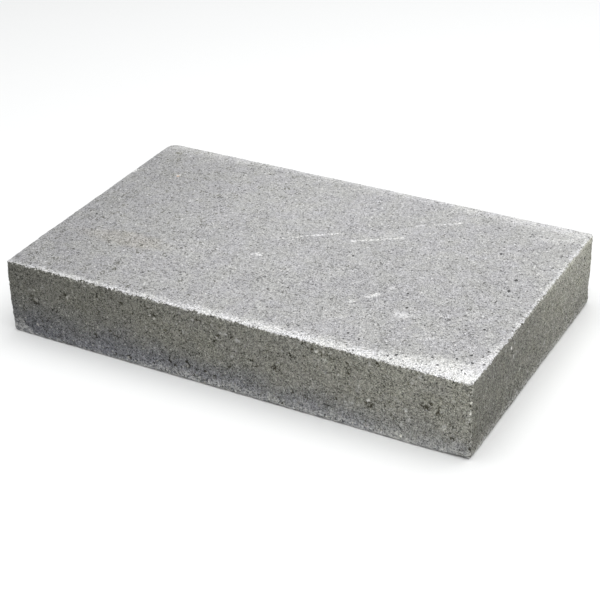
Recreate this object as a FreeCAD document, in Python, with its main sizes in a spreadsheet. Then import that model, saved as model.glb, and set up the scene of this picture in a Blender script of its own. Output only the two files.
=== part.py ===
import FreeCAD, Part
import math
import os
import Sketcher

# Concrete wall cap: one dry-cast slab, a plain rectangular block with its
# vertical corners slightly rounded, one of them much more than the others, and
# a small worn radius round its top and bottom edges.
#
# Frame: millimetres, +Z up.  The origin is in the middle of the bed face, which
# lies on the floor at Z = 0.  +X runs along the long side; the long front face
# is at -Y, the short ends are at -X and +X, and the well rounded corner is the
# back left one, at -X +Y.

doc = FreeCAD.newDocument("wall_cap")

# ---------------------------------------------------------------- dimensions
sheet = doc.addObject("Spreadsheet::Sheet", "Dimensions")
ROWS = [
    ("cap_length", 400.0),         # long side, along X
    ("cap_depth", 244.0),          # short side, along Y
    ("cap_height", 64.0),          # thickness, along Z
    ("corner_radius", 3.0),        # three of the vertical corners, in plan
    ("back_left_radius", 10.0),    # the back left vertical corner, in plan
    ("top_edge_radius", 2.0),      # arris round the top face
    ("bottom_edge_radius", 2.5),   # arris round the bed face
]
for row, (alias, value) in enumerate(ROWS, start=1):
    sheet.set("A%d" % row, alias)
    sheet.set("B%d" % row, str(value))
    sheet.setAlias("B%d" % row, alias)
doc.recompute()


def dim(alias):
    return float(getattr(sheet, alias))


# ---------------------------------------------------------------------- body
body = doc.addObject("PartDesign::Body", "WallCap")
body.Label = "wall_cap"


def origin_plane(role):
    for feature in body.Origin.OriginFeatures:
        if feature.Role == role:
            return feature
    raise RuntimeError("no origin plane " + role)


# Plan outline, centred on the origin: four sides and four tangent corner arcs.
outline = body.newObject("Sketcher::SketchObject", "Outline")
outline.AttachmentSupport = (origin_plane("XY_Plane"), [""])
outline.MapMode = "FlatFace"

hx = dim("cap_length") / 2.0
hy = dim("cap_depth") / 2.0
r = dim("corner_radius")
big = dim("back_left_radius")
V = FreeCAD.Vector


def line(x0, y0, x1, y1):
    return outline.addGeometry(Part.LineSegment(V(x0, y0, 0), V(x1, y1, 0)), False)


def arc(cx, cy, radius, start_deg):
    circle = Part.Circle(V(cx, cy, 0), V(0, 0, 1), radius)
    a0 = math.radians(start_deg)
    return outline.addGeometry(
        Part.ArcOfCircle(circle, a0, a0 + math.pi / 2.0), False)


front = line(-hx + r, -hy, hx - r, -hy)
front_right = arc(hx - r, -hy + r, r, -90)
right = line(hx, -hy + r, hx, hy - r)
back_right = arc(hx - r, hy - r, r, 0)
back = line(hx - r, hy, -hx + big, hy)
back_left = arc(-hx + big, hy - big, big, 90)
left = line(-hx, hy - big, -hx, -hy + r)
front_left = arc(-hx + r, -hy + r, r, 180)

loop = [front, front_right, right, back_right, back, back_left, left, front_left]
for here, there in zip(loop, loop[1:] + loop[:1]):
    outline.addConstraint(Sketcher.Constraint("Tangent", here, 2, there, 1))
outline.addConstraint(Sketcher.Constraint("Horizontal", front))
outline.addConstraint(Sketcher.Constraint("Horizontal", back))
outline.addConstraint(Sketcher.Constraint("Vertical", right))
outline.addConstraint(Sketcher.Constraint("Vertical", left))
outline.addConstraint(Sketcher.Constraint("Equal", front_right, back_right))
outline.addConstraint(Sketcher.Constraint("Equal", front_right, front_left))


def driven(constraint, expression):
    index = outline.addConstraint(constraint)
    outline.setExpression("Constraints[%d]" % index, expression)


driven(Sketcher.Constraint("Radius", front_right, r), "Dimensions.corner_radius")
driven(Sketcher.Constraint("Radius", back_left, big), "Dimensions.back_left_radius")
driven(Sketcher.Constraint("DistanceX", -1, 1, right, 1, hx), "Dimensions.cap_length / 2")
driven(Sketcher.Constraint("DistanceX", left, 1, -1, 1, hx), "Dimensions.cap_length / 2")
driven(Sketcher.Constraint("DistanceY", -1, 1, back, 1, hy), "Dimensions.cap_depth / 2")
driven(Sketcher.Constraint("DistanceY", front, 1, -1, 1, hy), "Dimensions.cap_depth / 2")
doc.recompute()

# The slab itself, up from the bed face.
slab = body.newObject("PartDesign::Pad", "Slab")
slab.Profile = outline
slab.setExpression("Length", "Dimensions.cap_height")
doc.recompute()


def loop_at(feature, z):
    """Names of the edges that lie flat at height z."""
    names = []
    for number, edge in enumerate(feature.Shape.Edges, start=1):
        box = edge.BoundBox
        if abs(box.ZMin - z) < 1e-6 and abs(box.ZMax - z) < 1e-6:
            names.append("Edge%d" % number)
    return names


# Worn arris round the top face, then round the bed face.
top_names = loop_at(slab, dim("cap_height"))
top_arris = body.newObject("PartDesign::Fillet", "TopArris")
top_arris.Base = (slab, top_names)
top_arris.setExpression("Radius", "Dimensions.top_edge_radius")
doc.recompute()

bottom_names = loop_at(top_arris, 0.0)
bottom_arris = body.newObject("PartDesign::Fillet", "BottomArris")
bottom_arris.Base = (top_arris, bottom_names)
bottom_arris.setExpression("Radius", "Dimensions.bottom_edge_radius")
body.Tip = bottom_arris
doc.recompute()

# -------------------------------------------------------------------- checks
for obj in doc.Objects:
    if "Invalid" in obj.State or "Error" in obj.State:
        raise RuntimeError("failed object: %s %s" % (obj.Name, obj.State))

if len(top_names) != 8 or len(bottom_names) != 8:
    raise RuntimeError("arris loops: %s %s" % (top_names, bottom_names))
if outline.solve() != 0 or outline.DoF != 0:
    raise RuntimeError("the outline is not fully held")

shape = body.Shape
if shape.isNull() or not shape.isValid() or len(shape.Solids) != 1:
    raise RuntimeError("the slab is not one valid solid")

corner_loss = (1.0 - math.pi / 4.0) * (3.0 * r * r + big * big)
plain = (dim("cap_length") * dim("cap_depth") - corner_loss) * dim("cap_height")
if not 0.998 * plain < shape.Volume < plain:
    raise RuntimeError("volume %.0f, expected just under %.0f" % (shape.Volume, plain))
box = shape.optimalBoundingBox(False)
want = (-hx, -hy, 0.0, hx, hy, dim("cap_height"))
have = (box.XMin, box.YMin, box.ZMin, box.XMax, box.YMax, box.ZMax)
if max(abs(a - b) for a, b in zip(want, have)) > 0.01:
    raise RuntimeError("box %s, expected %s" % (have, want))
print("wall_cap volume %.0f mm3, box %s" % (shape.Volume, have))

# -------------------------------------------------------------------- output
os.makedirs("parts", exist_ok=True)
shape.exportStep(os.path.join("parts", body.Label + ".step"))
print("wrote", body.Label)
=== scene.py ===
import math

import bpy
import numpy as np
from mathutils import Matrix, Vector


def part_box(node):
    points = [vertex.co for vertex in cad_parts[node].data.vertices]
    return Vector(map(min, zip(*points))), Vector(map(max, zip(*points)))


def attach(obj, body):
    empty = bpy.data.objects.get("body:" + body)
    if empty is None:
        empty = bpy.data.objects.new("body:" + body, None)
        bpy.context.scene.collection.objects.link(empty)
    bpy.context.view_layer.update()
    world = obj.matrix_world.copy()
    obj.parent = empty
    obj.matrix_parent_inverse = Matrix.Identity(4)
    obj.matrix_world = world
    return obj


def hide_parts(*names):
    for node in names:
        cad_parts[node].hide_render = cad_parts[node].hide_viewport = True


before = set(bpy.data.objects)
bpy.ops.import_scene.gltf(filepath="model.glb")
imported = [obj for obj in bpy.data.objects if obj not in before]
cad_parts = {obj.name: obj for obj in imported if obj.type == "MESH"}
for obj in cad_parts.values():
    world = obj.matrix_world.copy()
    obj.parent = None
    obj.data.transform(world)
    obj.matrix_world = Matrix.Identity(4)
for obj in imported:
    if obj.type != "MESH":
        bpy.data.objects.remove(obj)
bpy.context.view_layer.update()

# ------------------------------------------------------------------ the slab
# All sizes below are in millimetres; the mesh is written in metres.
lo, hi = [np.array(c, float) * 1000.0 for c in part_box("wall_cap")]
HX, HY, H = (hi[0] - lo[0]) / 2.0, (hi[1] - lo[1]) / 2.0, hi[2] - lo[2]
R_SMALL, R_BACK_LEFT = 3.0, 10.0      # vertical corners
R_TOP, R_BED = 2.0, 1.8               # arris round the top and round the bed

TARGET_TRIS = 194000


# ------------------------------------------------------------- noise, seeded
U = np.uint32


def hashed(ix, iy, iz, seed):
    h = (ix.astype(U) * U(73856093)) ^ (iy.astype(U) * U(19349663)) \
        ^ (iz.astype(U) * U(83492791)) ^ U((int(seed) * 2654435761) & 0xFFFFFFFF)
    h ^= h >> U(16)
    h *= U(0x7FEB352D)
    h ^= h >> U(15)
    h *= U(0x846CA68B)
    h ^= h >> U(16)
    return h


def unit(h, shift):
    """A number in 0..1 from ten bits of a hash."""
    return ((h >> U(shift)) & U(1023)).astype(np.float32) * np.float32(1 / 1023.0)


rng = np.random.RandomState(41)
GRADS = rng.normal(size=(256, 3)).astype(np.float32)
GRADS /= np.linalg.norm(GRADS, axis=1)[:, None]


def perlin(p, size, seed):
    """Gradient noise of about -1..1, with features of the given size."""
    q = p / np.float32(size)
    f = np.floor(q)
    t = (q - f).astype(np.float32)
    c = f.astype(np.int32)
    s = t * t * t * (t * (t * 6 - 15) + 10)
    total = np.zeros(len(p), np.float32)
    for dx in (0, 1):
        wx = s[:, 0] if dx else 1 - s[:, 0]
        for dy in (0, 1):
            wy = s[:, 1] if dy else 1 - s[:, 1]
            for dz in (0, 1):
                wz = s[:, 2] if dz else 1 - s[:, 2]
                g = GRADS[hashed(c[:, 0] + dx, c[:, 1] + dy, c[:, 2] + dz, seed) & U(255)]
                d = g[:, 0] * (t[:, 0] - dx) + g[:, 1] * (t[:, 1] - dy) + g[:, 2] * (t[:, 2] - dz)
                total += wx * wy * wz * d
    return total * 1.7


def cells(p, size, seed, shape):
    """For every point, the largest value of shape(distance, a, b) over the
    random points of a jittered grid; a and b are each random point's own."""
    q = p / np.float32(size)
    q = q.astype(np.float32)
    c = np.floor(q).astype(np.int32)
    best = np.zeros(len(p), np.float32)
    for dx in (-1, 0, 1):
        for dy in (-1, 0, 1):
            for dz in (-1, 0, 1):
                k = c + np.array((dx, dy, dz), np.int32)
                h = hashed(k[:, 0], k[:, 1], k[:, 2], seed)
                g = hashed(k[:, 0], k[:, 1], k[:, 2], seed + 77)
                d = (k[:, 0] + unit(h, 0) - q[:, 0]) ** 2
                d += (k[:, 1] + unit(h, 10) - q[:, 1]) ** 2
                d += (k[:, 2] + unit(h, 20) - q[:, 2]) ** 2
                d = np.sqrt(d, dtype=np.float32) * np.float32(size)
                np.maximum(best, shape(d, unit(g, 0), unit(g, 12)), out=best)
    return best


def only(where, p, size, seed, shape):
    """cells() worked out at some of the points, and 0 at the rest."""
    out = np.zeros(len(p), np.float32)
    out[where] = cells(p[where], size, seed, shape)
    return out


def smooth(x, a, b):
    t = np.clip((x - a) / (b - a), 0.0, 1.0)
    return t * t * (3 - 2 * t)


# --------------------------------------------- base surface: a rounded block
def stations(half, ends):
    """Grid lines along one side, closer together at the arrises."""
    fine = np.arange(0.0, ends, 0.5)
    count = int(round((2 * half - 2 * ends) / 0.82))
    middle = np.linspace(ends, 2 * half - ends, count + 1)
    return np.concatenate([fine, middle, 2 * half - fine[::-1]]) - half


xs, ys = stations(HX, 4.0), stations(HY, 4.0)
zs = stations(H / 2.0, 4.0) + H / 2.0
nx, ny, nz = len(xs) - 1, len(ys) - 1, len(zs) - 1


def key(i, j, k):
    return (i * (ny + 1) + j) * (nz + 1) + k


def patch(fixed, value, flip):
    """The quads of one side of the block, as keys of grid points."""
    spans = [range(nx + 1), range(ny + 1), range(nz + 1)]
    a, b = [n for n in range(3) if n != fixed]
    A, B = np.meshgrid(np.arange(len(spans[a])), np.arange(len(spans[b])), indexing="ij")
    ijk = [None] * 3
    ijk[a], ijk[b], ijk[fixed] = A, B, np.full_like(A, value)
    K = key(*ijk)
    quad = np.stack([K[:-1, :-1], K[1:, :-1], K[1:, 1:], K[:-1, 1:]], -1).reshape(-1, 4)
    return quad[:, ::-1] if flip else quad


quads = np.concatenate([
    patch(2, nz, False), patch(2, 0, True),       # top, bed
    patch(1, 0, False), patch(1, ny, True),       # front, back
    patch(0, nx, False), patch(0, 0, True),       # right, left
])
keys, quads = np.unique(quads, return_inverse=True)
quads = quads.reshape(-1, 4)
gi, rest = np.divmod(keys, (ny + 1) * (nz + 1))
gj, gk = np.divmod(rest, nz + 1)
x, y, z = xs[gi].copy(), ys[gj].copy(), zs[gk].copy()
on_wall = (gi == 0) | (gi == nx) | (gj == 0) | (gj == ny)

# Round the vertical corners in plan.
n2 = np.zeros((len(x), 2))
depth = np.minimum(HX - np.abs(x), HY - np.abs(y))
near_x = (HX - np.abs(x)) <= (HY - np.abs(y))
n2[near_x, 0] = np.sign(x[near_x])
n2[~near_x, 1] = np.sign(y[~near_x])
for sx in (-1, 1):
    for sy in (-1, 1):
        R = R_BACK_LEFT if (sx, sy) == (-1, 1) else R_SMALL
        cx, cy = sx * (HX - R), sy * (HY - R)
        u, v = (x - cx) * sx / R, (y - cy) * sy / R
        pick = (u > 0) & (v > 0)
        uu, vv = u[pick], v[pick]
        mu, mv = uu * np.sqrt(1 - vv * vv / 2), vv * np.sqrt(1 - uu * uu / 2)
        x[pick], y[pick] = cx + sx * R * mu, cy + sy * R * mv
        rho = np.maximum(np.hypot(mu, mv), 1e-6)
        n2[pick, 0], n2[pick, 1] = sx * mu / rho, sy * mv / rho
        depth[pick] = R * (1 - rho)

# Round the arris at the top and the one at the bed.
normal = np.zeros((len(x), 3))
normal[:, :2] = n2 * on_wall[:, None]
for r, at_end, sign in ((R_TOP, gk == nz, 1.0), (R_BED, gk == 0, -1.0)):
    far = (H - z) if sign > 0 else z.copy()
    w = np.where(at_end, 1.0, np.clip(1 - far / r, 0, 1) * on_wall)
    u = np.where(on_wall, 1.0, np.clip(1 - depth / r, 0, 1))
    zone = at_end | (on_wall & (far < r))
    mu, mw = u * np.sqrt(1 - w * w / 2), w * np.sqrt(1 - u * u / 2)
    z[zone] = ((H - r * (1 - mw)) if sign > 0 else r * (1 - mw))[zone]
    shift = (r * (mu - u) * zone)[:, None] * n2
    x += shift[:, 0]
    y += shift[:, 1]
    out = np.concatenate([n2 * mu[:, None], (sign * mw)[:, None]], 1)
    normal[zone] = out[zone]
normal /= np.linalg.norm(normal, axis=1)[:, None]

base = np.stack([x, y, z], 1).astype(np.float32)
up = normal[:, 2]
side = 1 - smooth(np.abs(up), 0.25, 0.95)
top = smooth(up, 0.3, 0.9)
bed = smooth(-up, 0.3, 0.9)

# How far each point is from the arris lines, along the surface.
dx_ = HX - np.abs(x)
dy_ = HY - np.abs(y)
plan_in = np.minimum(dx_, dy_)
top_arris = np.hypot(np.where(up > 0.5, plan_in, 0), np.where(up > 0.5, 0, H - z))
bed_arris = np.hypot(np.where(up < -0.5, plan_in, 0), np.where(up < -0.5, 0, z))
upright = np.hypot(dx_, dy_)


# ------------------------------------------------------------------- relief
def lump(p, centre, size):
    d = (p - np.array(centre, np.float32)) / np.array(size, np.float32)
    return np.exp(-(d * d).sum(1))


walls = side > 0.02
tops = top > 0.02
seen = walls | tops
warp = np.stack([perlin(base, 3.0, 11), perlin(base, 3.0, 12), perlin(base, 3.0, 13)], 1)
crisp = np.stack([perlin(base, 1.75, 14), perlin(base, 1.75, 15), perlin(base, 1.75, 16)], 1)
warped = base + 0.9 * warp + 0.5 * crisp

porous = np.clip(0.5 + 0.9 * perlin(base, 26.0, 6) + 0.45 * perlin(base, 11.0, 7), 0, 1.4)

relief = np.zeros(len(x), np.float32)
relief += (0.24 * side + 0.12 * top + 0.12 * bed) * perlin(base, 72.0, 1)
relief += (0.13 * side + 0.06 * top + 0.05 * bed) * perlin(base, 24.0, 2)
relief += (0.13 * side + 0.05 * top + 0.03 * bed) * perlin(base, 8.5, 3)
relief += (0.15 * side + 0.045 * top + 0.02 * bed) * perlin(base, 3.6, 4)
relief += (0.19 * side + 0.02 * top) * perlin(base, 1.9, 8)

# Sand that stands out of the cement.
grains = only(seen, warped, 2.1, 21, lambda d, a, b:
              np.sqrt(np.clip(1 - (d / (0.65 + 0.8 * a)) ** 2, 0, 1)) * (0.35 + 0.65 * b))
relief += (0.36 * side + 0.05 * top) * (grains - 0.4)


# Small stones near the face, each in a gap that runs part of the way round it.
def stone(d, a, b):
    return np.clip(1.3 * (1 - (d / (1.0 + 1.8 * a)) ** 2), 0, 1) * (b > 0.60)


def moat(d, a, b):
    return np.exp(-((d - (1.25 + 1.8 * a)) / 0.55) ** 2) * (b > 0.60)


shaken = base + 0.7 * warp + 0.4 * crisp
stones = only(seen, shaken, 8.0, 22, stone)
moats = only(seen, shaken, 8.0, 22, moat) * smooth(perlin(base, 4.2, 51), -0.05, 0.45)
relief += (0.26 * side + 0.03 * top) * stones


# Voids that the dry mix left open.
def hole(reach, chance):
    def shape(d, a, b):
        return np.clip(1.0 - (d / (reach * (0.45 + 0.55 * a))) ** 2, 0, 1) * (b < chance)
    return shape


small_voids = only(walls, warped, 3.4, 31, hole(1.15, 0.42))
large_voids = only(walls, base + 1.5 * warp + 0.6 * crisp, 8.0, 32, hole(2.3, 0.34))
top_voids = only(tops, warped, 5.0, 33, hole(0.95, 0.30))
voids = np.maximum(small_voids * np.clip(porous, 0.25, 1.1), large_voids * np.clip(porous - 0.30, 0, 1))
voids = np.maximum(voids, 0.75 * moats * np.clip(porous, 0.2, 1))
voids = voids * side + 0.6 * top_voids * top

# The listed voids and bare grains that stand out: place, reach, depth.
FRONT_VOIDS = [
    (-110.6, 54.0, 2.2, 1.0), (-143.5, 46.5, 2.0, 0.9), (-147.5, 42.0, 1.6, 0.7),
    (-173.0, 34.5, 3.0, 0.8), (-177.0, 36.5, 2.0, 0.6), (-157.5, 31.5, 2.0, 0.9),
    (-154.0, 30.0, 1.4, 0.8), (-103.0, 25.0, 1.6, 0.7), (-98.5, 23.5, 1.5, 0.7),
    (-95.0, 22.5, 1.2, 0.6), (-90.0, 52.8, 1.8, 0.8), (-58.8, 51.5, 1.8, 0.9),
    (-37.5, 41.5, 1.8, 0.9), (-51.0, 39.0, 1.6, 0.7), (-20.0, 58.4, 1.9, 0.9),
    (-7.5, 43.5, 1.9, 0.9), (-3.5, 47.5, 1.4, 0.7), (-33.8, 13.4, 2.6, 1.2),
    (-47.5, 14.6, 1.9, 0.9), (-17.5, 12.0, 1.8, 0.9), (-25.6, 7.0, 1.8, 0.9),
    (-8.8, 9.6, 1.5, 0.8), (-44.0, 10.0, 1.5, 0.7), (-87.0, 5.0, 1.8, 0.8),
    (-100.0, 5.0, 1.6, 0.7), (-117.5, 17.0, 1.9, 0.6), (-126.0, 20.5, 1.6, 0.5),
    (6.0, 53.0, 1.6, 0.7), (8.4, 49.5, 2.0, 1.0), (59.0, 48.4, 2.0, 0.9),
    (69.5, 60.5, 1.6, 0.8), (75.5, 58.0, 1.5, 0.9), (82.0, 55.5, 1.5, 0.8),
    (87.0, 57.0, 1.4, 0.7), (104.0, 53.5, 1.3, 0.8), (105.5, 50.5, 1.3, 0.8),
    (102.5, 48.5, 1.3, 0.7), (104.5, 45.5, 1.4, 0.8), (127.0, 59.6, 2.1, 1.0),
    (42.0, 35.0, 1.6, 0.8), (44.5, 33.5, 1.7, 0.9), (46.5, 32.0, 1.4, 0.8),
    (27.5, 31.0, 1.9, 0.8), (24.5, 34.0, 1.2, 0.6), (57.5, 16.5, 1.8, 0.8),
    (64.0, 32.0, 1.4, 0.6), (118.5, 25.0, 1.4, 0.9), (121.5, 24.0, 1.7, 0.9),
    (123.5, 26.0, 1.2, 0.7), (166.0, 35.0, 2.7, 1.2), (163.5, 37.0, 1.6, 0.8),
    (168.5, 38.5, 1.5, 0.8), (175.0, 33.0, 2.0, 0.9), (176.5, 37.0, 1.4, 0.8),
    (152.5, 51.5, 1.3, 0.7), (156.0, 50.8, 1.2, 0.6), (139.0, 19.6, 1.8, 0.8),
    (68.0, 15.0, 1.5, 0.7), (49.0, 3.0, 1.7, 0.8), (4.0, 24.0, 1.6, 0.7),
    (-66.0, 57.0, 1.6, 0.8), (-80.0, 46.0, 1.4, 0.7), (-185.0, 24.0, 2.2, 0.6),
    (186.0, 14.0, 1.7, 0.8), (94.0, 21.0, 1.5, 0.6), (-62.0, 26.0, 1.5, 0.6),
]
RIGHT_VOIDS = [   # along Y, height, reach, depth, on the +X end
    (-112.0, 40.0, 1.6, 0.7), (-100.0, 22.0, 1.5, 0.6), (-76.0, 33.0, 1.6, 0.6),
    (-50.0, 14.0, 1.5, 0.6), (-4.0, 25.0, 1.9, 0.7), (1.0, 19.0, 1.5, 0.6),
    (52.0, 28.5, 2.2, 0.8), (57.0, 24.0, 1.4, 0.6), (104.0, 42.0, 1.9, 0.8),
    (24.0, 47.0, 1.4, 0.5), (80.0, 12.0, 1.6, 0.6),
]
EDGE_VOIDS = [    # knocked out of the front right corner: x, y, z, reach, depth
    (199.2, -121.2, 45.8, 1.6, 1.0), (199.2, -121.4, 30.0, 2.0, 1.1), (199.4, -121.2, 24.6, 1.5, 0.8),
    (199.0, -121.2, 9.5, 2.2, 1.2), (199.2, -121.0, 55.5, 1.8, 0.9), (199.0, -121.4, 16.5, 1.4, 0.7),
]
LIGHT_GRAINS = [  # x, y, z, reach, height
    (199.2, -121.4, 48.6, 1.7, 0.62), (199.0, -121.4, 39.5, 1.5, 0.60), (199.3, -121.4, 52.6, 0.9, 0.2),
    (-187.8, -122, 10.9, 1.6, 0.3), (-173.8, -122, 11.8, 2.0, 0.3), (-166.0, -122, 14.0, 0.9, 0.2),
    (-123.0, -122, 59.6, 1.8, 0.3), (-112.0, -122, 51.0, 1.4, 0.25), (-64.0, -122, 49.3, 1.5, 0.35),
    (-60.0, -122, 47.8, 1.4, 0.35), (-25.0, -122, 56.0, 1.7, 0.3), (-40.0, -122, 48.0, 1.6, 0.3),
    (-5.0, -122, 45.2, 1.8, 0.35), (-141.0, -122, 45.2, 1.6, 0.3), (17.0, -122, 12.8, 1.5, 0.3),
    (9.0, -122, 9.0, 1.3, 0.2), (145.0, -122, 20.0, 1.0, 0.2), (158.0, -122, 31.5, 1.3, 0.25),
    (135.0, -122, 41.0, 1.0, 0.2), (146.2, -121.6, 5.0, 1.7, 0.60), (118.0, -121.8, 5.3, 1.5, 0.3),
    (103.0, -122, 10.0, 1.0, 0.2), (170.6, -122, 49.0, 1.0, 0.2), (105.6, -122, 37.0, 1.4, 0.25),
    (154.5, -122, 52.4, 1.6, 0.35), (79.0, -122, 57.0, 2.2, 0.45), (85.0, -122, 58.6, 1.8, 0.35),
    (72.0, -122, 61.0, 1.8, 0.3), (120.5, -122, 27.6, 2.4, 0.5), (3.0, -122, 51.0, 2.0, 0.35),
    (12.5, -122, 48.5, 1.8, 0.3), (177.0, -122, 35.0, 1.8, 0.3), (51.0, -122, 50.0, 1.5, 0.25),
    (200, -51.5, 53.8, 1.9, 0.55), (200, -42.5, 47.0, 1.2, 0.25), (200, -116.0, 10.0, 1.4, 0.3),
    (200, -88.0, 23.0, 0.9, 0.2), (200, -16.0, 26.0, 1.0, 0.2), (200, 34.0, 31.0, 0.9, 0.15),
]

# Each of these marks is handed to the material as a small frame of its own:
# where a point lies from the middle of the nearest mark, in units of its reach.
CRESCENT, PIT, GRAIN = 0.0, 0.5, 1.0
turn_rng = np.random.RandomState(7)
marks_list = []
for n, (fx, fz, r, d) in enumerate(FRONT_VOIDS):
    marks_list.append(((fx, -HY, fz), (1, 1, 0), r * 1.15, d, PIT if n % 3 == 1 else CRESCENT))
for n, (fy, fz, r, d) in enumerate(RIGHT_VOIDS):
    marks_list.append(((HX, fy, fz), (1, 1, 0), r * 1.15, d, PIT if n % 3 == 1 else CRESCENT))
for ex, ey, ez, r, d in EDGE_VOIDS:
    marks_list.append(((ex, ey, ez), (1, 1, 0), r, d, PIT))
for gx, gy, gz, r, d in LIGHT_GRAINS:
    marks_list.append(((gx, gy, gz), (1, 1, 0), r * (1.0 if d > 0.5 else 0.8), d, GRAIN))
# The back and the left end are as porous as the front.
for n in range(64):
    kind = (CRESCENT, PIT, CRESCENT, GRAIN)[n % 4]
    reach = turn_rng.uniform(1.3, 2.4) if kind != GRAIN else turn_rng.uniform(0.9, 1.8)
    amount = turn_rng.uniform(0.55, 1.05) if kind != GRAIN else turn_rng.uniform(0.2, 0.45)
    height_ = turn_rng.uniform(4, H - 4)
    if n < 42:
        marks_list.append(((turn_rng.uniform(-HX + 6, HX - 6), HY, height_), (1, 0, 0), reach, amount, kind))
    else:
        marks_list.append(((-HX, turn_rng.uniform(-HY + 6, HY - 6), height_), (0, 1, 0), reach, amount, kind))

local = np.zeros((len(x), 3), np.float32)
local[:, 0] = 4.0
closest = np.full(len(x), 9.0, np.float32)
kind_of = np.zeros(len(x), np.float32)
for centre, across, r, d, kind in marks_list:
    angle = turn_rng.uniform(0, 2 * math.pi)
    c, s_ = math.cos(angle), math.sin(angle)
    near = np.where(np.abs(base - np.array(centre, np.float32)).max(1) < 3.0 * r + 2)[0]
    q = base[near] - np.array(centre, np.float32)
    a, b = (q @ np.array(across, np.float32)) / r, q[:, 2] / r
    reach = np.hypot(a, b) + 0.5 * np.abs(q @ np.cross(np.array(across, float), (0, 0, 1)).astype(np.float32)) / r * (across[0] != across[1])
    win = reach < closest[near]
    pick = near[win]
    closest[pick] = reach[win]
    local[pick, 0] = (c * a - s_ * b)[win]
    local[pick, 1] = (s_ * a + c * b)[win]
    local[pick, 2] = d
    kind_of[pick] = kind
    # and cut or raise the surface itself
    w = np.hypot(a + 0.5 * warp[near, 0] / r, b + 0.5 * warp[near, 1] / r)
    if kind == GRAIN:
        relief[near] += d * np.sqrt(np.clip(1.0 - w * w, 0, 1))
    elif kind == PIT:
        relief[near] -= 0.8 * d * np.sqrt(np.clip(1.0 - w * w, 0, 1))
    else:
        lean = smooth(c * a - s_ * b, -0.3, 0.4)
        relief[near] -= 0.6 * d * np.exp(-((w - 0.8) / 0.3) ** 2) * lean
        relief[near] += 0.25 * d * np.clip(1.0 - w * w, 0, 1)
nearness = np.clip((2.2 - closest) / 1.2, 0, 1)

relief -= 0.7 * smooth(voids, 0.0, 0.9)

# Worn, ragged arrises.
ragged = 0.5 + 0.6 * perlin(base, 22.0, 41) + 0.5 * perlin(base, 7.0, 42) + 0.5 * perlin(base, 2.6, 43)
ragged = np.clip(ragged, 0.0, 1.6)
near_arris = np.minimum(np.minimum(top_arris, bed_arris), upright) < 6.0
chips = only(near_arris, base + 1.2 * warp, 17.0, 44, lambda d, a, b:
             np.clip(1 - (d / (2.0 + 4.5 * a)) ** 2, 0, 1) * (b < 0.40))
relief -= (0.55 * ragged + 0.9 * chips) * np.exp(-(top_arris / 1.5) ** 2)
relief -= (0.45 * ragged + 1.1 * chips + 0.55 * np.abs(perlin(base, 3.4, 45))) * np.exp(-(bed_arris / 1.7) ** 2)
relief -= (0.60 * ragged + 0.9 * chips) * np.exp(-(upright / 1.9) ** 2) * (1 - np.abs(up))

# Dents and leans of the block as a whole.
for centre, size, amount in (
        ((-200, -122, 64), (30, 30, 9), -0.9),      # front left corner, worn towards its top
        ((-200, -40, 64), (12, 60, 10), -0.5),      # left end draws in at the top
        ((200, 122, 16), (12, 22, 9), -0.9),        # back right corner, low down
        ((192, -122, 0), (12, 10, 4), -1.1),        # the bed edge lifts beside the front right corner
        ((-60, -122, 4), (70, 12, 9), 0.45),        # and bulges towards the left
        ((200, 0, 0), (12, 160, 7), -0.5),          # right bed edge set in a little
):
    relief += amount * lump(base, centre, size)

# Nothing on the bed reaches below the floor that it rests on.
relief = np.where(up < -0.5, np.minimum(relief, -0.02), relief)

verts = (base + relief[:, None] * normal).astype(np.float32)
verts[:, 2] = np.maximum(verts[:, 2], 0.0)

void_mark = np.clip(smooth(voids, 0.12, 0.8), 0, 1)
edge_mark = np.clip(np.exp(-(np.minimum(np.minimum(top_arris, bed_arris), upright + 0.6) / 2.2) ** 2), 0, 1)


# --------------------------------------------------------------- Blender mesh
def grid_mesh(name, points, faces):
    me = bpy.data.meshes.new(name)
    me.vertices.add(len(points))
    me.vertices.foreach_set("co", (points * 0.001).astype(np.float32).ravel())
    me.loops.add(faces.size)
    me.loops.foreach_set("vertex_index", faces.astype(np.int32).ravel())
    me.polygons.add(len(faces))
    me.polygons.foreach_set("loop_start", np.arange(0, faces.size, 4, dtype=np.int32))
    me.update(calc_edges=True)
    me.validate()
    return me


def point_values(me, name, values):
    layer = me.attributes.new(name, "FLOAT", "POINT")
    layer.data.foreach_set("value", values.astype(np.float32))


mesh = grid_mesh("wall_cap_concrete", verts, quads)
point_values(mesh, "void", void_mark)
point_values(mesh, "mark_near", nearness)
point_values(mesh, "mark_kind", kind_of)
frames = mesh.attributes.new("mark_local", "FLOAT_VECTOR", "POINT")
frames.data.foreach_set("vector", local.ravel())
point_values(mesh, "upward", up)
point_values(mesh, "arris", edge_mark)

slab = bpy.data.objects.new("wall_cap_concrete", mesh)
bpy.context.scene.collection.objects.link(slab)

thin = slab.modifiers.new("thin", "DECIMATE")
thin.decimate_type = "COLLAPSE"
thin.ratio = TARGET_TRIS / (2.0 * len(quads))
thin.use_collapse_triangulate = True
dg = bpy.context.evaluated_depsgraph_get()
reduced = bpy.data.meshes.new_from_object(slab.evaluated_get(dg))
slab.modifiers.clear()
slab.data = reduced
bpy.data.meshes.remove(mesh)
reduced.name = "wall_cap_concrete"
mesh = reduced
mesh.shade_smooth()
print("slab triangles", len(mesh.polygons))
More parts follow.
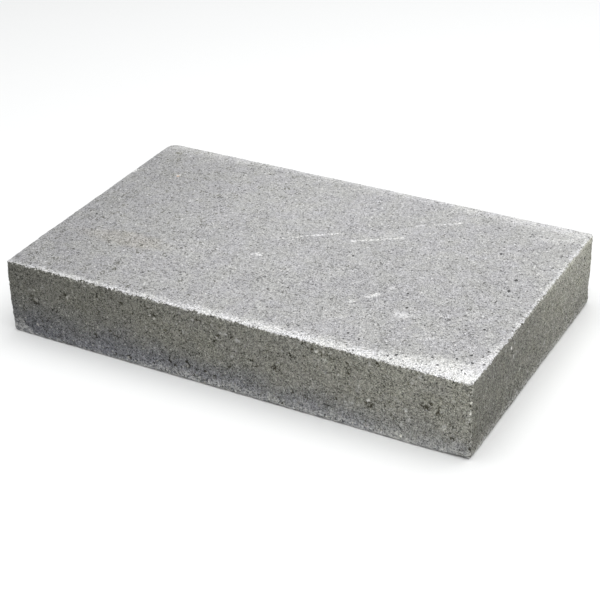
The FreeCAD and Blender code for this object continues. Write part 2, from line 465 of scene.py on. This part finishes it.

# One chart for each side of the block, laid out one by one.
count = len(mesh.polygons)
co = np.empty(len(mesh.vertices) * 3, np.float32)
mesh.vertices.foreach_get("co", co)
co = co.reshape(-1, 3) * 1000.0
corner = np.empty(len(mesh.loops), np.int32)
mesh.loops.foreach_get("vertex_index", corner)
tri = corner.reshape(-1, 3)
mid = co[tri].mean(1)
gap = np.stack([HX - mid[:, 0], HX + mid[:, 0], HY - mid[:, 1], HY + mid[:, 1],
                H - mid[:, 2], mid[:, 2]], 1)
chart = gap.argmin(1)       # right, left, back, front, top, bed
print("triangles on right, left, back, front, top, bed", np.bincount(chart, minlength=6))
pad, scale = 4.0, 640.0
offsets = {4: (0, 0), 5: (0, 248), 3: (0, 496), 2: (0, 564), 0: (404, 0), 1: (404, 248)}
uv = np.zeros((len(tri), 3, 2), np.float32)
P = co[tri]
for number, (ox, oy) in offsets.items():
    pick = chart == number
    if number in (4, 5):
        uv[pick] = P[pick][..., :2] + (HX, HY)
    elif number in (2, 3):
        uv[pick] = P[pick][..., (0, 2)] + (HX, 0)
    else:
        uv[pick] = P[pick][..., (2, 1)] + (0, HY)
    uv[pick] += (ox + pad, oy + pad)
uv_layer = mesh.uv_layers.new(name="OFBake")
uv_layer.data.foreach_set("uv", (uv / scale).astype(np.float32).ravel())


# ------------------------------------------------------------------ material
mat = bpy.data.materials.new("dry_cast_concrete")
mat.use_nodes = True
tree = mat.node_tree
tree.nodes.clear()
N, Lk = tree.nodes, tree.links


def put(socket, value):
    if isinstance(value, bpy.types.NodeSocket):
        Lk.new(value, socket)
    else:
        socket.default_value = value


def math_(op, a, b=0.0, clamp=False):
    n = N.new("ShaderNodeMath")
    n.operation, n.use_clamp = op, clamp
    put(n.inputs[0], a)
    put(n.inputs[1], b)
    return n.outputs[0]


def add(a, b): return math_("ADD", a, b)
def sub(a, b): return math_("SUBTRACT", a, b)
def mul(a, b): return math_("MULTIPLY", a, b)
def big(a, b): return math_("MAXIMUM", a, b)
def low(a, b): return math_("MINIMUM", a, b)


def step(value, a, b, out0=0.0, out1=1.0):
    """Smooth rise from out0 to out1 as value goes from a to b."""
    n = N.new("ShaderNodeMapRange")
    n.interpolation_type = "SMOOTHSTEP"
    n.clamp = True
    put(n.inputs["Value"], value)
    put(n.inputs["From Min"], a)
    put(n.inputs["From Max"], b)
    put(n.inputs["To Min"], out0)
    put(n.inputs["To Max"], out1)
    return n.outputs["Result"]


coords = N.new("ShaderNodeTexCoord")
to_mm = N.new("ShaderNodeVectorMath")
to_mm.operation = "SCALE"
Lk.new(coords.outputs["Object"], to_mm.inputs[0])
to_mm.inputs["Scale"].default_value = 1000.0
MM = to_mm.outputs[0]
split = N.new("ShaderNodeSeparateXYZ")
Lk.new(MM, split.inputs[0])
X, Y, Z = split.outputs


def noise(size, detail=2.0, rough=0.5, vector=None, shift=0.0, out="Fac"):
    n = N.new("ShaderNodeTexNoise")
    n.noise_dimensions = "3D"
    put(n.inputs["Vector"], offset(vector or MM, shift))
    n.inputs["Scale"].default_value = 1.0 / size
    n.inputs["Detail"].default_value = detail
    n.inputs["Roughness"].default_value = rough
    return n.outputs[out]


def offset(vector, shift):
    if not shift:
        return vector
    n = N.new("ShaderNodeVectorMath")
    n.operation = "ADD"
    Lk.new(vector, n.inputs[0])
    n.inputs[1].default_value = (shift, shift * 0.7, -shift * 1.3)
    return n.outputs[0]


def voronoi(size, vector=None, shift=0.0, feature="F1"):
    n = N.new("ShaderNodeTexVoronoi")
    n.voronoi_dimensions = "3D"
    n.feature = feature
    put(n.inputs["Vector"], offset(vector or MM, shift))
    n.inputs["Scale"].default_value = 1.0 / size
    return n


def channel(colour, which):
    n = N.new("ShaderNodeSeparateColor")
    Lk.new(colour, n.inputs[0])
    return n.outputs[which]


def attribute(name, output="Fac"):
    n = N.new("ShaderNodeAttribute")
    n.attribute_type = "GEOMETRY"
    n.attribute_name = name
    return n.outputs[output]


def mix_colour(fac, a, b):
    n = N.new("ShaderNodeMix")
    n.data_type = "RGBA"
    n.clamp_factor = True
    put(n.inputs[0], fac)
    put(n.inputs[6], a)
    put(n.inputs[7], b)
    return n.outputs[2]


def grey(value):
    n = N.new("ShaderNodeCombineColor")
    for k in range(3):
        put(n.inputs[k], value)
    return n.outputs[0]


def multiply_colour(a, b):
    n = N.new("ShaderNodeMix")
    n.data_type = "RGBA"
    n.blend_type = "MULTIPLY"
    n.inputs[0].default_value = 1.0
    put(n.inputs[6], a)
    put(n.inputs[7], b)
    return n.outputs[2]


# Fine speckle: grains of sand of 1 to 1.5 mm, each with its own tone.
wobble = N.new("ShaderNodeVectorMath")
wobble.operation = "MULTIPLY_ADD"
Lk.new(noise(2.2, 1.0, out="Color"), wobble.inputs[0])
wobble.inputs[1].default_value = (1.3, 1.3, 1.3)
Lk.new(MM, wobble.inputs[2])
BENT = wobble.outputs[0]

sand = voronoi(1.2, BENT)
sand_tone = channel(sand.outputs["Color"], 0)
sand_tint = channel(sand.outputs["Color"], 1)
sand_b = voronoi(2.1, BENT, shift=37.0)
coarse_tone = channel(sand_b.outputs["Color"], 0)
dust = noise(0.68, 1.0, shift=11.0)
fleck = noise(1.6, 1.5, 0.6, shift=23.0)
gap = step(noise(1.7, 1.0, 0.5, shift=53.0), 0.40, 0.27)      # crevices between grains
glint = step(noise(1.5, 0.5, 0.5, shift=83.0), 0.64, 0.76)   # the odd light grain
blotch = noise(7.5, 2.0, 0.55, shift=5.0)
cloud = noise(34.0, 3.0, 0.55, shift=71.0)
drift = noise(110.0, 2.0, 0.5, shift=19.0)


def centred(value, amount):
    return mul(sub(value, 0.5), amount)


upward = attribute("upward")
void = attribute("void")
mark_near = attribute("mark_near")
mark_kind = attribute("mark_kind")
arris = attribute("arris")

# Where the top ends and the sides begin: ragged, grain by grain.
wander = noise(6.5, 2.0, 0.6, shift=151.0)
front_in = add(Y, HY)                 # distance in from the front arris
right_in = sub(HX, X)
left_in = add(X, HX)
back_in = sub(HY, Y)
along = math_("DIVIDE", left_in, 2 * HX)       # 0 at the left end, 1 at the right
top_mask = step(sub(add(upward, add(centred(wander, 1.25), add(centred(sand_tone, 0.40), centred(fleck, 0.8)))),
                    mul(step(along, 0.62, 0.20), 0.13)), 0.47, 0.69)

# -- top tone, with painted light

# Lighter towards the right end: painted light. A little lighter towards the back.
top_tone_with_painted_light = mul(add(0.302, mul(step(along, -0.05, 0.42), 0.084)), add(1.0, mul(Y, 0.045 / HY)))
top_speckle = add(add(centred(sand_tone, 0.50), centred(fleck, 0.95)),
                  add(centred(dust, 2.75), add(centred(blotch, 0.24), add(centred(cloud, 0.20), centred(coarse_tone, 0.20)))))
top_speckle = add(top_speckle, sub(mul(glint, 0.20), mul(gap, 0.24)))
top_speckle = mul(mul(top_speckle, add(1.0, mul(Y, -0.11 / HY))), add(0.84, mul(step(along, 0.1, 0.8), 0.15)))
top_tone_with_painted_light = mul(top_tone_with_painted_light, add(1.0, mul(step(back_in, 34.0, 5.0), mul(step(along, 0.30, 0.08), 0.075))))
top_value = mul(top_tone_with_painted_light, add(1.0, top_speckle))

# Pale, worn margin, widest at the front right corner.
corner_pull = step(math_("SQRT", add(mul(right_in, right_in), mul(mul(front_in, 1.25), mul(front_in, 1.25)))), 78.0, 14.0)
front_width = add(3.6, add(mul(step(along, 0.1, 0.85), 5.0), mul(corner_pull, 15.0)))
edge_noise = add(centred(noise(9.0, 2.0, 0.6, shift=44.0), 7.0), centred(fleck, 4.0))
front_band = step(sub(front_in, edge_noise), mul(front_width, 1.9), mul(front_width, 0.25))
right_width = add(2.4, mul(corner_pull, 9.0))
right_band = step(sub(right_in, edge_noise), mul(right_width, 1.8), mul(right_width, 0.3))
back_width = add(12.0, add(mul(step(along, 0.7, 1.0), 14.0), mul(step(along, 0.30, 0.05), 8.0)))
back_band = mul(step(sub(back_in, mul(edge_noise, 1.6)), back_width, 0.5), 0.62)
left_band = mul(step(sub(left_in, edge_noise), 3.0, 0.5), 0.30)
pale = big(big(front_band, mul(right_band, 0.68)), big(back_band, left_band))
pale = mul(pale, add(0.54, mul(along, 0.44)))

# Dark specks: tiny open pores.
pores = voronoi(4.2, BENT, shift=91.0)
pore_size = channel(pores.outputs["Color"], 1)
pore = mul(step(pores.outputs["Distance"], mul(pore_size, 0.26), mul(pore_size, 0.06)),
           step(channel(pores.outputs["Color"], 0), 0.42, 0.30))

# Pinholes and bright grains of half a millimetre, in loose patches.
tiny = voronoi(2.1, BENT, shift=221.0)
tiny_size = add(channel(tiny.outputs["Color"], 1), 0.5)
tiny_dot = step(tiny.outputs["Distance"], mul(tiny_size, 0.34), mul(tiny_size, 0.20))
tiny_pick = channel(tiny.outputs["Color"], 0)
crowd = step(noise(15.0, 2.0, 0.6, shift=227.0), 0.34, 0.66)
pinhole = mul(tiny_dot, step(tiny_pick, add(0.08, mul(crowd, 0.36)), add(0.04, mul(crowd, 0.36))))
bright_dot = mul(tiny_dot, step(tiny_pick, 0.86, 0.90))

# -- side tone, a darker grey than the top: partly the moulded skin's own tone, partly painted shade
on_front = step(front_in, 3.0, 1.0)                    # 1 on the long front face
# Lighter towards the back; on the right end this is painted light.
side_tone_with_painted_light = add(0.180, mul(step(Y, -HY, HY), 0.064))
# Lighter towards the right along the front: painted light.
side_tone_with_painted_light = add(side_tone_with_painted_light, mul(on_front, sub(mul(along, 0.144), 0.051)))
height = math_("DIVIDE", Z, H)
far_end = mul(step(right_in, 3.0, 1.0), step(Y, -0.4 * HY, 1.05 * HY))
# At the far end of the right face, lighter towards the top: painted light.
side_tone_with_painted_light = mul(side_tone_with_painted_light, add(1.03, mul(far_end, add(-0.07, mul(height, 0.70)))))
# The foot of the front is lighter: painted light against the floor's contact shadow, and partly the whitish bottom
# edge.
side_tone_with_painted_light = mul(side_tone_with_painted_light, add(1.0, mul(step(Z, 14.0, 0.5), mul(on_front, 0.26))))
# The right end lighter along its top: painted light.
side_tone_with_painted_light = mul(side_tone_with_painted_light, add(1.0, mul(step(Z, H - 9.0, H - 1.0), mul(step(right_in, 3.0, 1.0), add(0.14, mul(far_end, 0.10))))))
side_speckle = add(add(centred(sand_tone, 0.66), centred(fleck, 0.95)),
                   add(centred(dust, 3.5), add(centred(blotch, 0.26), add(centred(cloud, 0.22), centred(coarse_tone, 0.18)))))
side_speckle = add(side_speckle, sub(mul(glint, 0.42), mul(gap, 0.52)))
side_value = mul(side_tone_with_painted_light, add(1.0, side_speckle))

front_face = step(front_in, 3.0, 0.5)
# Bluish towards the bottom and the left of the front: painted reflection of cool light; olive above it.
painted_cool_reflection = mul(step(add(height, add(mul(along, 0.28), centred(cloud, 0.5))), 0.74, 0.06), add(0.14, mul(front_face, 0.86)))
olive = N.new("ShaderNodeRGB"); olive.outputs[0].default_value = (1.015, 1.010, 0.880, 1.0)
bluish_reflection_tint = N.new("ShaderNodeRGB"); bluish_reflection_tint.outputs[0].default_value = (0.960, 0.985, 1.060, 1.0)
olive_tint_and_painted_reflection = mix_colour(painted_cool_reflection, olive.outputs[0], bluish_reflection_tint.outputs[0])
side_colour = multiply_colour(grey(side_value), olive_tint_and_painted_reflection)

# Whitish grains along the bed edge and the uprights; low on the sides the paler foot is also painted light against the
# shade next to the floor.
bed_reach = add(1.5, add(mul(step(along, 0.28, 0.36), 5.0), mul(step(left_in, 24.0, 8.0), 9.0)))
bed_pale_and_painted_light = mul(step(sub(Z, add(add(centred(fleck, 6.0), bed_reach), mul(edge_noise, 0.8))), 3.0, -2.5), 0.62)
bare_edge = mul(step(add(sand_tone, add(mul(arris, 0.34), centred(fleck, 0.5))), 0.95, 1.08), 0.9)

pale_side = N.new("ShaderNodeRGB"); pale_side.outputs[0].default_value = (0.60, 0.60, 0.575, 1.0)
side_colour = mix_colour(mul(bed_pale_and_painted_light, step(add(sand_tone, centred(fleck, 1.0)), 0.05, 0.95)), side_colour, pale_side.outputs[0])
side_colour = mix_colour(mul(bare_edge, arris), side_colour, pale_side.outputs[0])
# The crumbling rim of the bed is paler than the face above it: partly pale crumbs, partly painted light that offsets
# the shade on the downward-facing rim.
pale_rim_and_painted_light = mul(step(add(upward, add(centred(wander, 1.2), centred(fleck, 1.0))), -0.08, -0.46), add(0.42, mul(step(along, 0.2, 0.9), 0.45)))
crumbs = mul(mul(tiny_dot, step(tiny_pick, 0.50, 0.56)), mul(step(Z, 7.0, 2.5), step(along, 0.25, 0.40)))
pale_rim_and_painted_light = mul(mul(pale_rim_and_painted_light, step(upward, -0.985, -0.93)), step(add(noise(5.0, 2.0, 0.6, shift=211.0), centred(fleck, 0.8)), 0.36, 0.60))
side_colour = mix_colour(big(pale_rim_and_painted_light, mul(crumbs, 0.85)), side_colour, (0.80, 0.80, 0.78, 1.0))
side_colour = mix_colour(mul(bright_dot, 0.55), side_colour, (0.52, 0.515, 0.47, 1.0))

# -- marks on the top
top_colour = multiply_colour(grey(top_value), (1.002, 0.999, 1.000, 1.0))

# A faint yellowish stain towards the left, and the warmer front margin.
def spot(cx, cy, rx, ry, turn_deg=0.0):
    """Soft 1..0 falloff from a place on the top, as squared distance."""
    t = math.radians(turn_deg)
    a = sub(X, cx)
    b = sub(Y, cy)
    u = math_("DIVIDE", add(mul(a, math.cos(t)), mul(b, math.sin(t))), rx)
    v = math_("DIVIDE", sub(mul(b, math.cos(t)), mul(a, math.sin(t))), ry)
    return add(mul(u, u), mul(v, v))


stain = mul(step(add(spot(-132.0, -50.0, 46.0, 12.0, 4.0), centred(cloud, 1.8)), 1.5, 0.0), 0.62)
stain_tint = N.new("ShaderNodeRGB"); stain_tint.outputs[0].default_value = (1.035, 1.0, 0.91, 1.0)
top_colour = mix_colour(stain, top_colour, multiply_colour(top_colour, stain_tint.outputs[0]))

pale_top = N.new("ShaderNodeRGB"); pale_top.outputs[0].default_value = (0.76, 0.76, 0.757, 1.0)
pale_speckle = multiply_colour(pale_top.outputs[0], grey(add(0.97, mul(top_speckle, 0.85))))
top_colour = mix_colour(mul(pale, 0.85), top_colour, pale_speckle)
top_colour = mix_colour(mul(bright_dot, add(0.46, mul(along, 0.20))), top_colour, (0.80, 0.80, 0.79, 1.0))


def segment(ax, ay, bx, by, wide):
    """1 on a straight scratch between two places on the top, 0 off it."""
    ux, uy = bx - ax, by - ay
    length2 = ux * ux + uy * uy
    a = sub(X, ax)
    b = sub(Y, ay)
    t = math_("DIVIDE", add(mul(a, ux), mul(b, uy)), length2, clamp=True)
    px = sub(a, mul(t, ux))
    py = sub(b, mul(t, uy))
    d = math_("SQRT", add(mul(px, px), mul(py, py)))
    return step(add(d, add(centred(fleck, 3.6), centred(dust, 3.4))), wide, wide * 0.1)


scratches = None
for ax, ay, bx, by, wide, strength in (
        (-20.0, 6.0, -2.0, 20.0, 1.1, 0.75),
        (-2.0, 20.0, 20.0, 35.0, 1.3, 0.95),
        (32.0, 27.0, 50.0, 37.0, 1.4, 0.75),
        (50.0, 37.0, 68.0, 50.0, 1.2, 0.85),
        (68.0, 72.0, 80.0, 80.0, 0.9, 0.55),
        (80.0, 80.0, 98.0, 92.0, 1.1, 0.95),
        (56.0, 60.0, 70.0, 70.0, 0.7, 0.35),
):
    s = mul(segment(ax, ay, bx, by, wide * 1.3), min(1.0, strength * 1.15))
    scratches = s if scratches is None else big(scratches, s)
scratches = mul(scratches, step(noise(2.6, 1.0, shift=63.0), 0.38, 0.54))

scuffs = None
for cx, cy, rx, ry, turn, strength in (
        (-24.0, -25.5, 3.3, 2.8, 20.0, 0.9),
        (86.6, -42.2, 2.1, 4.2, -32.0, 0.95),
        (82.8, -46.8, 1.9, 1.5, 0.0, 0.9),
        (93.7, -27.4, 2.0, 2.0, 0.0, 0.95),
        (74.8, -58.4, 1.9, 2.2, 0.0, 0.80),
        (117.5, -59.5, 8.0, 4.0, 0.0, 0.55),
        (148.4, -80.4, 1.6, 3.0, -50.0, 0.75),
        (34.0, 26.5, 3.0, 2.0, 0.0, 0.7),
        (-158.0, 67.5, 1.9, 1.9, 0.0, 0.8),
        (-198.0, 60.0, 2.5, 5.0, 0.0, 0.8),
        (-122.0, 31.0, 2.2, 2.2, 0.0, 0.5),
        (-60.0, 44.0, 2.0, 3.0, 0.0, 0.3),
        (188.0, 102.0, 6.0, 4.0, 0.0, 0.4),
        (166.0, 44.0, 4.0, 2.0, 0.0, 0.3),
        (78.0, -80.0, 4.0, 3.0, 20.0, 0.25),
        (60.0, 52.0, 16.0, 7.0, 38.0, 0.16),
        (172.0, 96.0, 12.0, 6.0, 10.0, 0.30),
):
    s = mul(step(add(spot(cx, cy, rx, ry, turn), add(centred(fleck, 5.0), centred(dust, 4.6))), 1.30, 0.25), strength)
    scuffs = s if scuffs is None else big(scuffs, s)
marks = mul(big(scratches, scuffs), step(add(dust, centred(sand_tone, 0.3)), 0.26, 0.52))
chalk = N.new("ShaderNodeRGB"); chalk.outputs[0].default_value = (0.92, 0.92, 0.91, 1.0)
top_colour = mix_colour(mul(marks, 0.9), top_colour, chalk.outputs[0])

rusty = mul(step(spot(-157.5, 66.0, 1.5, 1.5), 1.1, 0.5), 0.75)
top_colour = mix_colour(rusty, top_colour, (0.46, 0.30, 0.20, 1.0))

dark_spots = None
for cx, cy, r in (
        (116.0, -48.4, 1.0), (151.0, -50.8, 0.9), (107.5, -29.5, 0.9), (136.9, -109.9, 1.1), (131.9, -114.0, 0.8),
        (168.0, -109.0, 1.0), (176.9, -96.0, 1.1), (184.4, -87.4, 1.0), (188.8, -96.8, 1.0), (197.0, -94.9, 0.8),
        (185.6, -108.0, 0.9), (189.4, -111.0, 0.8), (103.8, -103.0, 0.9), (106.9, -118.4, 0.8), (93.0, -99.0, 0.9),
        (59.4, -62.0, 0.8), (179.0, -51.8, 0.9), (146.5, 58.0, 1.2), (172.5, 24.5, 1.3), (174.0, 7.0, 1.4),
        (161.0, -102.0, 0.8), (172.0, -86.0, 0.8), (193.0, -78.0, 0.8), (149.0, -97.0, 0.7), (44.0, 5.0, 0.9),
        (-126.0, 4.0, 0.9), (-180.0, -24.0, 1.1), (-90.0, -90.0, 0.9), (10.0, -70.0, 0.9),
):
    s = step(add(spot(cx, cy, r * 1.10, r * 1.30, 20.0), centred(fleck, 2.2)), 1.22, 0.52)
    dark_spots = s if dark_spots is None else big(dark_spots, s)

colour = mix_colour(top_mask, side_colour, top_colour)
# -- the listed marks, sharpened here grain by grain
frame_split = N.new("ShaderNodeSeparateXYZ")
Lk.new(attribute("mark_local", "Vector"), frame_split.inputs[0])
shake = N.new("ShaderNodeSeparateColor")
Lk.new(noise(1.7, 1.5, 0.6, shift=171.0, out="Color"), shake.inputs[0])
is_grain = step(mark_kind, 0.72, 0.78)
shaking = sub(2.6, mul(is_grain, 0.9))
mu = add(frame_split.outputs[0], mul(sub(shake.outputs[0], 0.5), shaking))
mv = add(frame_split.outputs[1], mul(sub(shake.outputs[1], 0.5), shaking))
amount = frame_split.outputs[2]
reach = math_("SQRT", add(mul(mu, mu), mul(mv, mv)))
close_by = step(mark_near, 0.30, 0.55)
is_crescent = step(mark_kind, 0.28, 0.22)
is_pit = sub(1.0, big(is_grain, is_crescent))
# A dark crescent along one side of each crescent mark, and dark pit interiors: painted shadow.
rim = mul(step(math_("ABSOLUTE", sub(reach, 0.82)), 0.36, 0.16), step(mu, -0.30, 0.20))
painted_pit_shade = mul(mul(big(mul(rim, is_crescent), mul(step(reach, 0.90, 0.40), is_pit)), close_by), low(add(amount, 0.15), 1.0))
grain_pale = mul(mul(step(reach, 0.95, 0.50), is_grain), close_by)
lump_pale = mul(mul(step(reach, 0.60, 0.25), is_crescent), close_by)

# Curling open gaps between the grains, in patches, over the sides; their darkness is painted shade.
curl = math_("ABSOLUTE", sub(noise(3.0, 1.0, 0.5, vector=BENT, shift=181.0), 0.5))
patchy = mul(step(noise(5.2, 1.0, shift=191.0), 0.50, 0.60), step(noise(24.0, 2.0, shift=197.0), 0.36, 0.58))
curl = mul(mul(step(curl, 0.030, 0.010), patchy), sub(1.0, top_mask))

grit = grey(low(add(0.24, mul(mul(amount, amount), 2.0)), 0.95))
colour = mix_colour(top_mask, side_colour, top_colour)
colour = mix_colour(mul(grain_pale, 0.92), colour, multiply_colour(grit, (1.0, 0.985, 0.93, 1.0)))
colour = mix_colour(mul(lump_pale, 0.30), colour, (0.42, 0.415, 0.37, 1.0))
dark_marks = big(big(mul(dark_spots, top_mask), mul(pore, 0.9)), mul(pinhole, add(0.60, mul(along, 0.24))))
# Darker over the voids of the relief: painted shade.
painted_void_shade = step(add(void, add(centred(fleck, 1.5), centred(dust, 1.0))), 0.30, 1.0)
# The dark pits, crescents and curling gaps together: painted shade, which also dips the bump.
painted_gap_shade = big(mul(painted_pit_shade, 0.80), mul(curl, 0.66))
# Painted shade from the voids, pits and gaps, together with the dark specks.
painted_shade_and_dark_specks = sub(1.0, big(big(mul(painted_void_shade, 0.42), painted_gap_shade), mul(dark_marks, add(0.58, mul(top_mask, 0.24)))))
colour = multiply_colour(colour, grey(painted_shade_and_dark_specks))
brown = N.new("ShaderNodeRGB"); brown.outputs[0].default_value = (1.06, 1.0, 0.80, 1.0)
colour = mix_colour(painted_gap_shade, colour, multiply_colour(colour, brown.outputs[0]))

# Clouds of a faintly warmer or cooler grey, and a little colour of each grain's own.
haze = noise(19.0, 2.0, 0.55, shift=131.0)
warm_cloud = N.new("ShaderNodeRGB"); warm_cloud.outputs[0].default_value = (1.006, 1.003, 0.985, 1.0)
cool_cloud = N.new("ShaderNodeRGB"); cool_cloud.outputs[0].default_value = (1.000, 0.993, 1.008, 1.0)
colour = multiply_colour(colour, mix_colour(step(haze, 0.32, 0.68), warm_cloud.outputs[0], cool_cloud.outputs[0]))
warm = N.new("ShaderNodeRGB"); warm.outputs[0].default_value = (1.010, 1.0, 0.982, 1.0)
coldc = N.new("ShaderNodeRGB"); coldc.outputs[0].default_value = (0.993, 0.998, 1.012, 1.0)
colour = multiply_colour(colour, mix_colour(sand_tint, warm.outputs[0], coldc.outputs[0]))

# -- relief finer than the mesh
dome = step(sand.outputs["Distance"], 0.75, 0.05)
fine = add(mul(dome, 0.55), add(mul(fleck, 0.8), mul(dust, 0.5)))
fine = sub(fine, add(add(add(mul(pore, 1.0), mul(pinhole, 0.8)), mul(gap, 0.5)), mul(painted_gap_shade, 1.6)))
fine = add(fine, mul(big(grain_pale, mul(lump_pale, 0.6)), 0.9))
bump = N.new("ShaderNodeBump")
bump.inputs["Strength"].default_value = 0.8
bump.inputs["Distance"].default_value = 0.00045
put(bump.inputs["Height"], fine)

shader = N.new("ShaderNodeBsdfPrincipled")
put(shader.inputs["Base Color"], colour)
put(shader.inputs["Roughness"], add(0.90, mul(marks, 0.05)))
shader.inputs["Specular IOR Level"].default_value = 0.25
Lk.new(bump.outputs[0], shader.inputs["Normal"])
out = N.new("ShaderNodeOutputMaterial")
Lk.new(shader.outputs[0], out.inputs["Surface"])

mesh.materials.clear()
mesh.materials.append(mat)
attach(slab, "root")
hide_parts("wall_cap")


# --------------------------------------------------------------------- stage
floor_mesh = bpy.data.meshes.new("floor")
S = 12.0
floor_mesh.from_pydata([(-S, -S, 0), (S, -S, 0), (S, S, 0), (-S, S, 0)], [], [(0, 1, 2, 3)])
floor = bpy.data.objects.new("floor", floor_mesh)
floor.location.z = -0.0002
bpy.context.scene.collection.objects.link(floor)
paper = bpy.data.materials.new("pale_paper")
paper.use_nodes = True
p = paper.node_tree.nodes["Principled BSDF"]
p.inputs["Base Color"].default_value = (0.86, 0.86, 0.855, 1.0)
p.inputs["Roughness"].default_value = 0.9
p.inputs["Specular IOR Level"].default_value = 0.1
floor_mesh.materials.append(paper)

world = bpy.data.worlds.new("studio")
bpy.context.scene.world = world
world.use_nodes = True
bg = world.node_tree.nodes["Background"]
bg.inputs["Color"].default_value = (0.97, 0.985, 1.0, 1.0)
bg.inputs["Strength"].default_value = 0.34


def area(name, place, aim, size, watts, colour=(1, 1, 1)):
    lamp = bpy.data.lights.new(name, "AREA")
    lamp.shape = "RECTANGLE"
    lamp.size, lamp.size_y = size
    lamp.energy = watts
    lamp.color = colour
    ob = bpy.data.objects.new(name, lamp)
    ob.location = place
    ob.rotation_euler = (Vector(aim) - Vector(place)).to_track_quat("-Z", "Y").to_euler()
    bpy.context.scene.collection.objects.link(ob)
    return ob


area("overhead", (0.20, -0.10, 1.80), (0.03, 0.0, 0.0), (2.3, 2.3), 46.5, (0.992, 0.997, 1.0))
area("from_right", (1.0, 1.1, 0.7), (0.15, 0.05, 0.03), (0.7, 0.7), 2.5, (1.0, 0.99, 0.975))


# -------------------------------------------------------------------- camera
AZ, EL, ROLL = math.radians(29.586), math.radians(30.431), math.radians(-1.734)
DIST, AIM = 1.285229, Vector((-0.014225, 0.021302, 0.0))
back = Vector((math.sin(AZ) * math.cos(EL), -math.cos(AZ) * math.cos(EL), math.sin(EL)))
right = Vector((0, 0, 1)).cross(back).normalized()
above = back.cross(right)
cam_x = math.cos(ROLL) * right + math.sin(ROLL) * above
cam_y = -math.sin(ROLL) * right + math.cos(ROLL) * above
camera_data = bpy.data.cameras.new("camera")
camera_data.sensor_fit = "HORIZONTAL"
camera_data.sensor_width = 36.0
camera_data.lens = 1552.563 * 36.0 / 600.0
camera_data.clip_end = 100.0
camera = bpy.data.objects.new("camera", camera_data)
pose = Matrix((cam_x, cam_y, back)).transposed().to_4x4()
pose.translation = AIM + back * DIST
camera.matrix_world = pose
bpy.context.scene.collection.objects.link(camera)
bpy.context.scene.camera = camera

bpy.context.scene.view_settings.view_transform = "Standard"
bpy.context.scene.view_settings.look = "None"
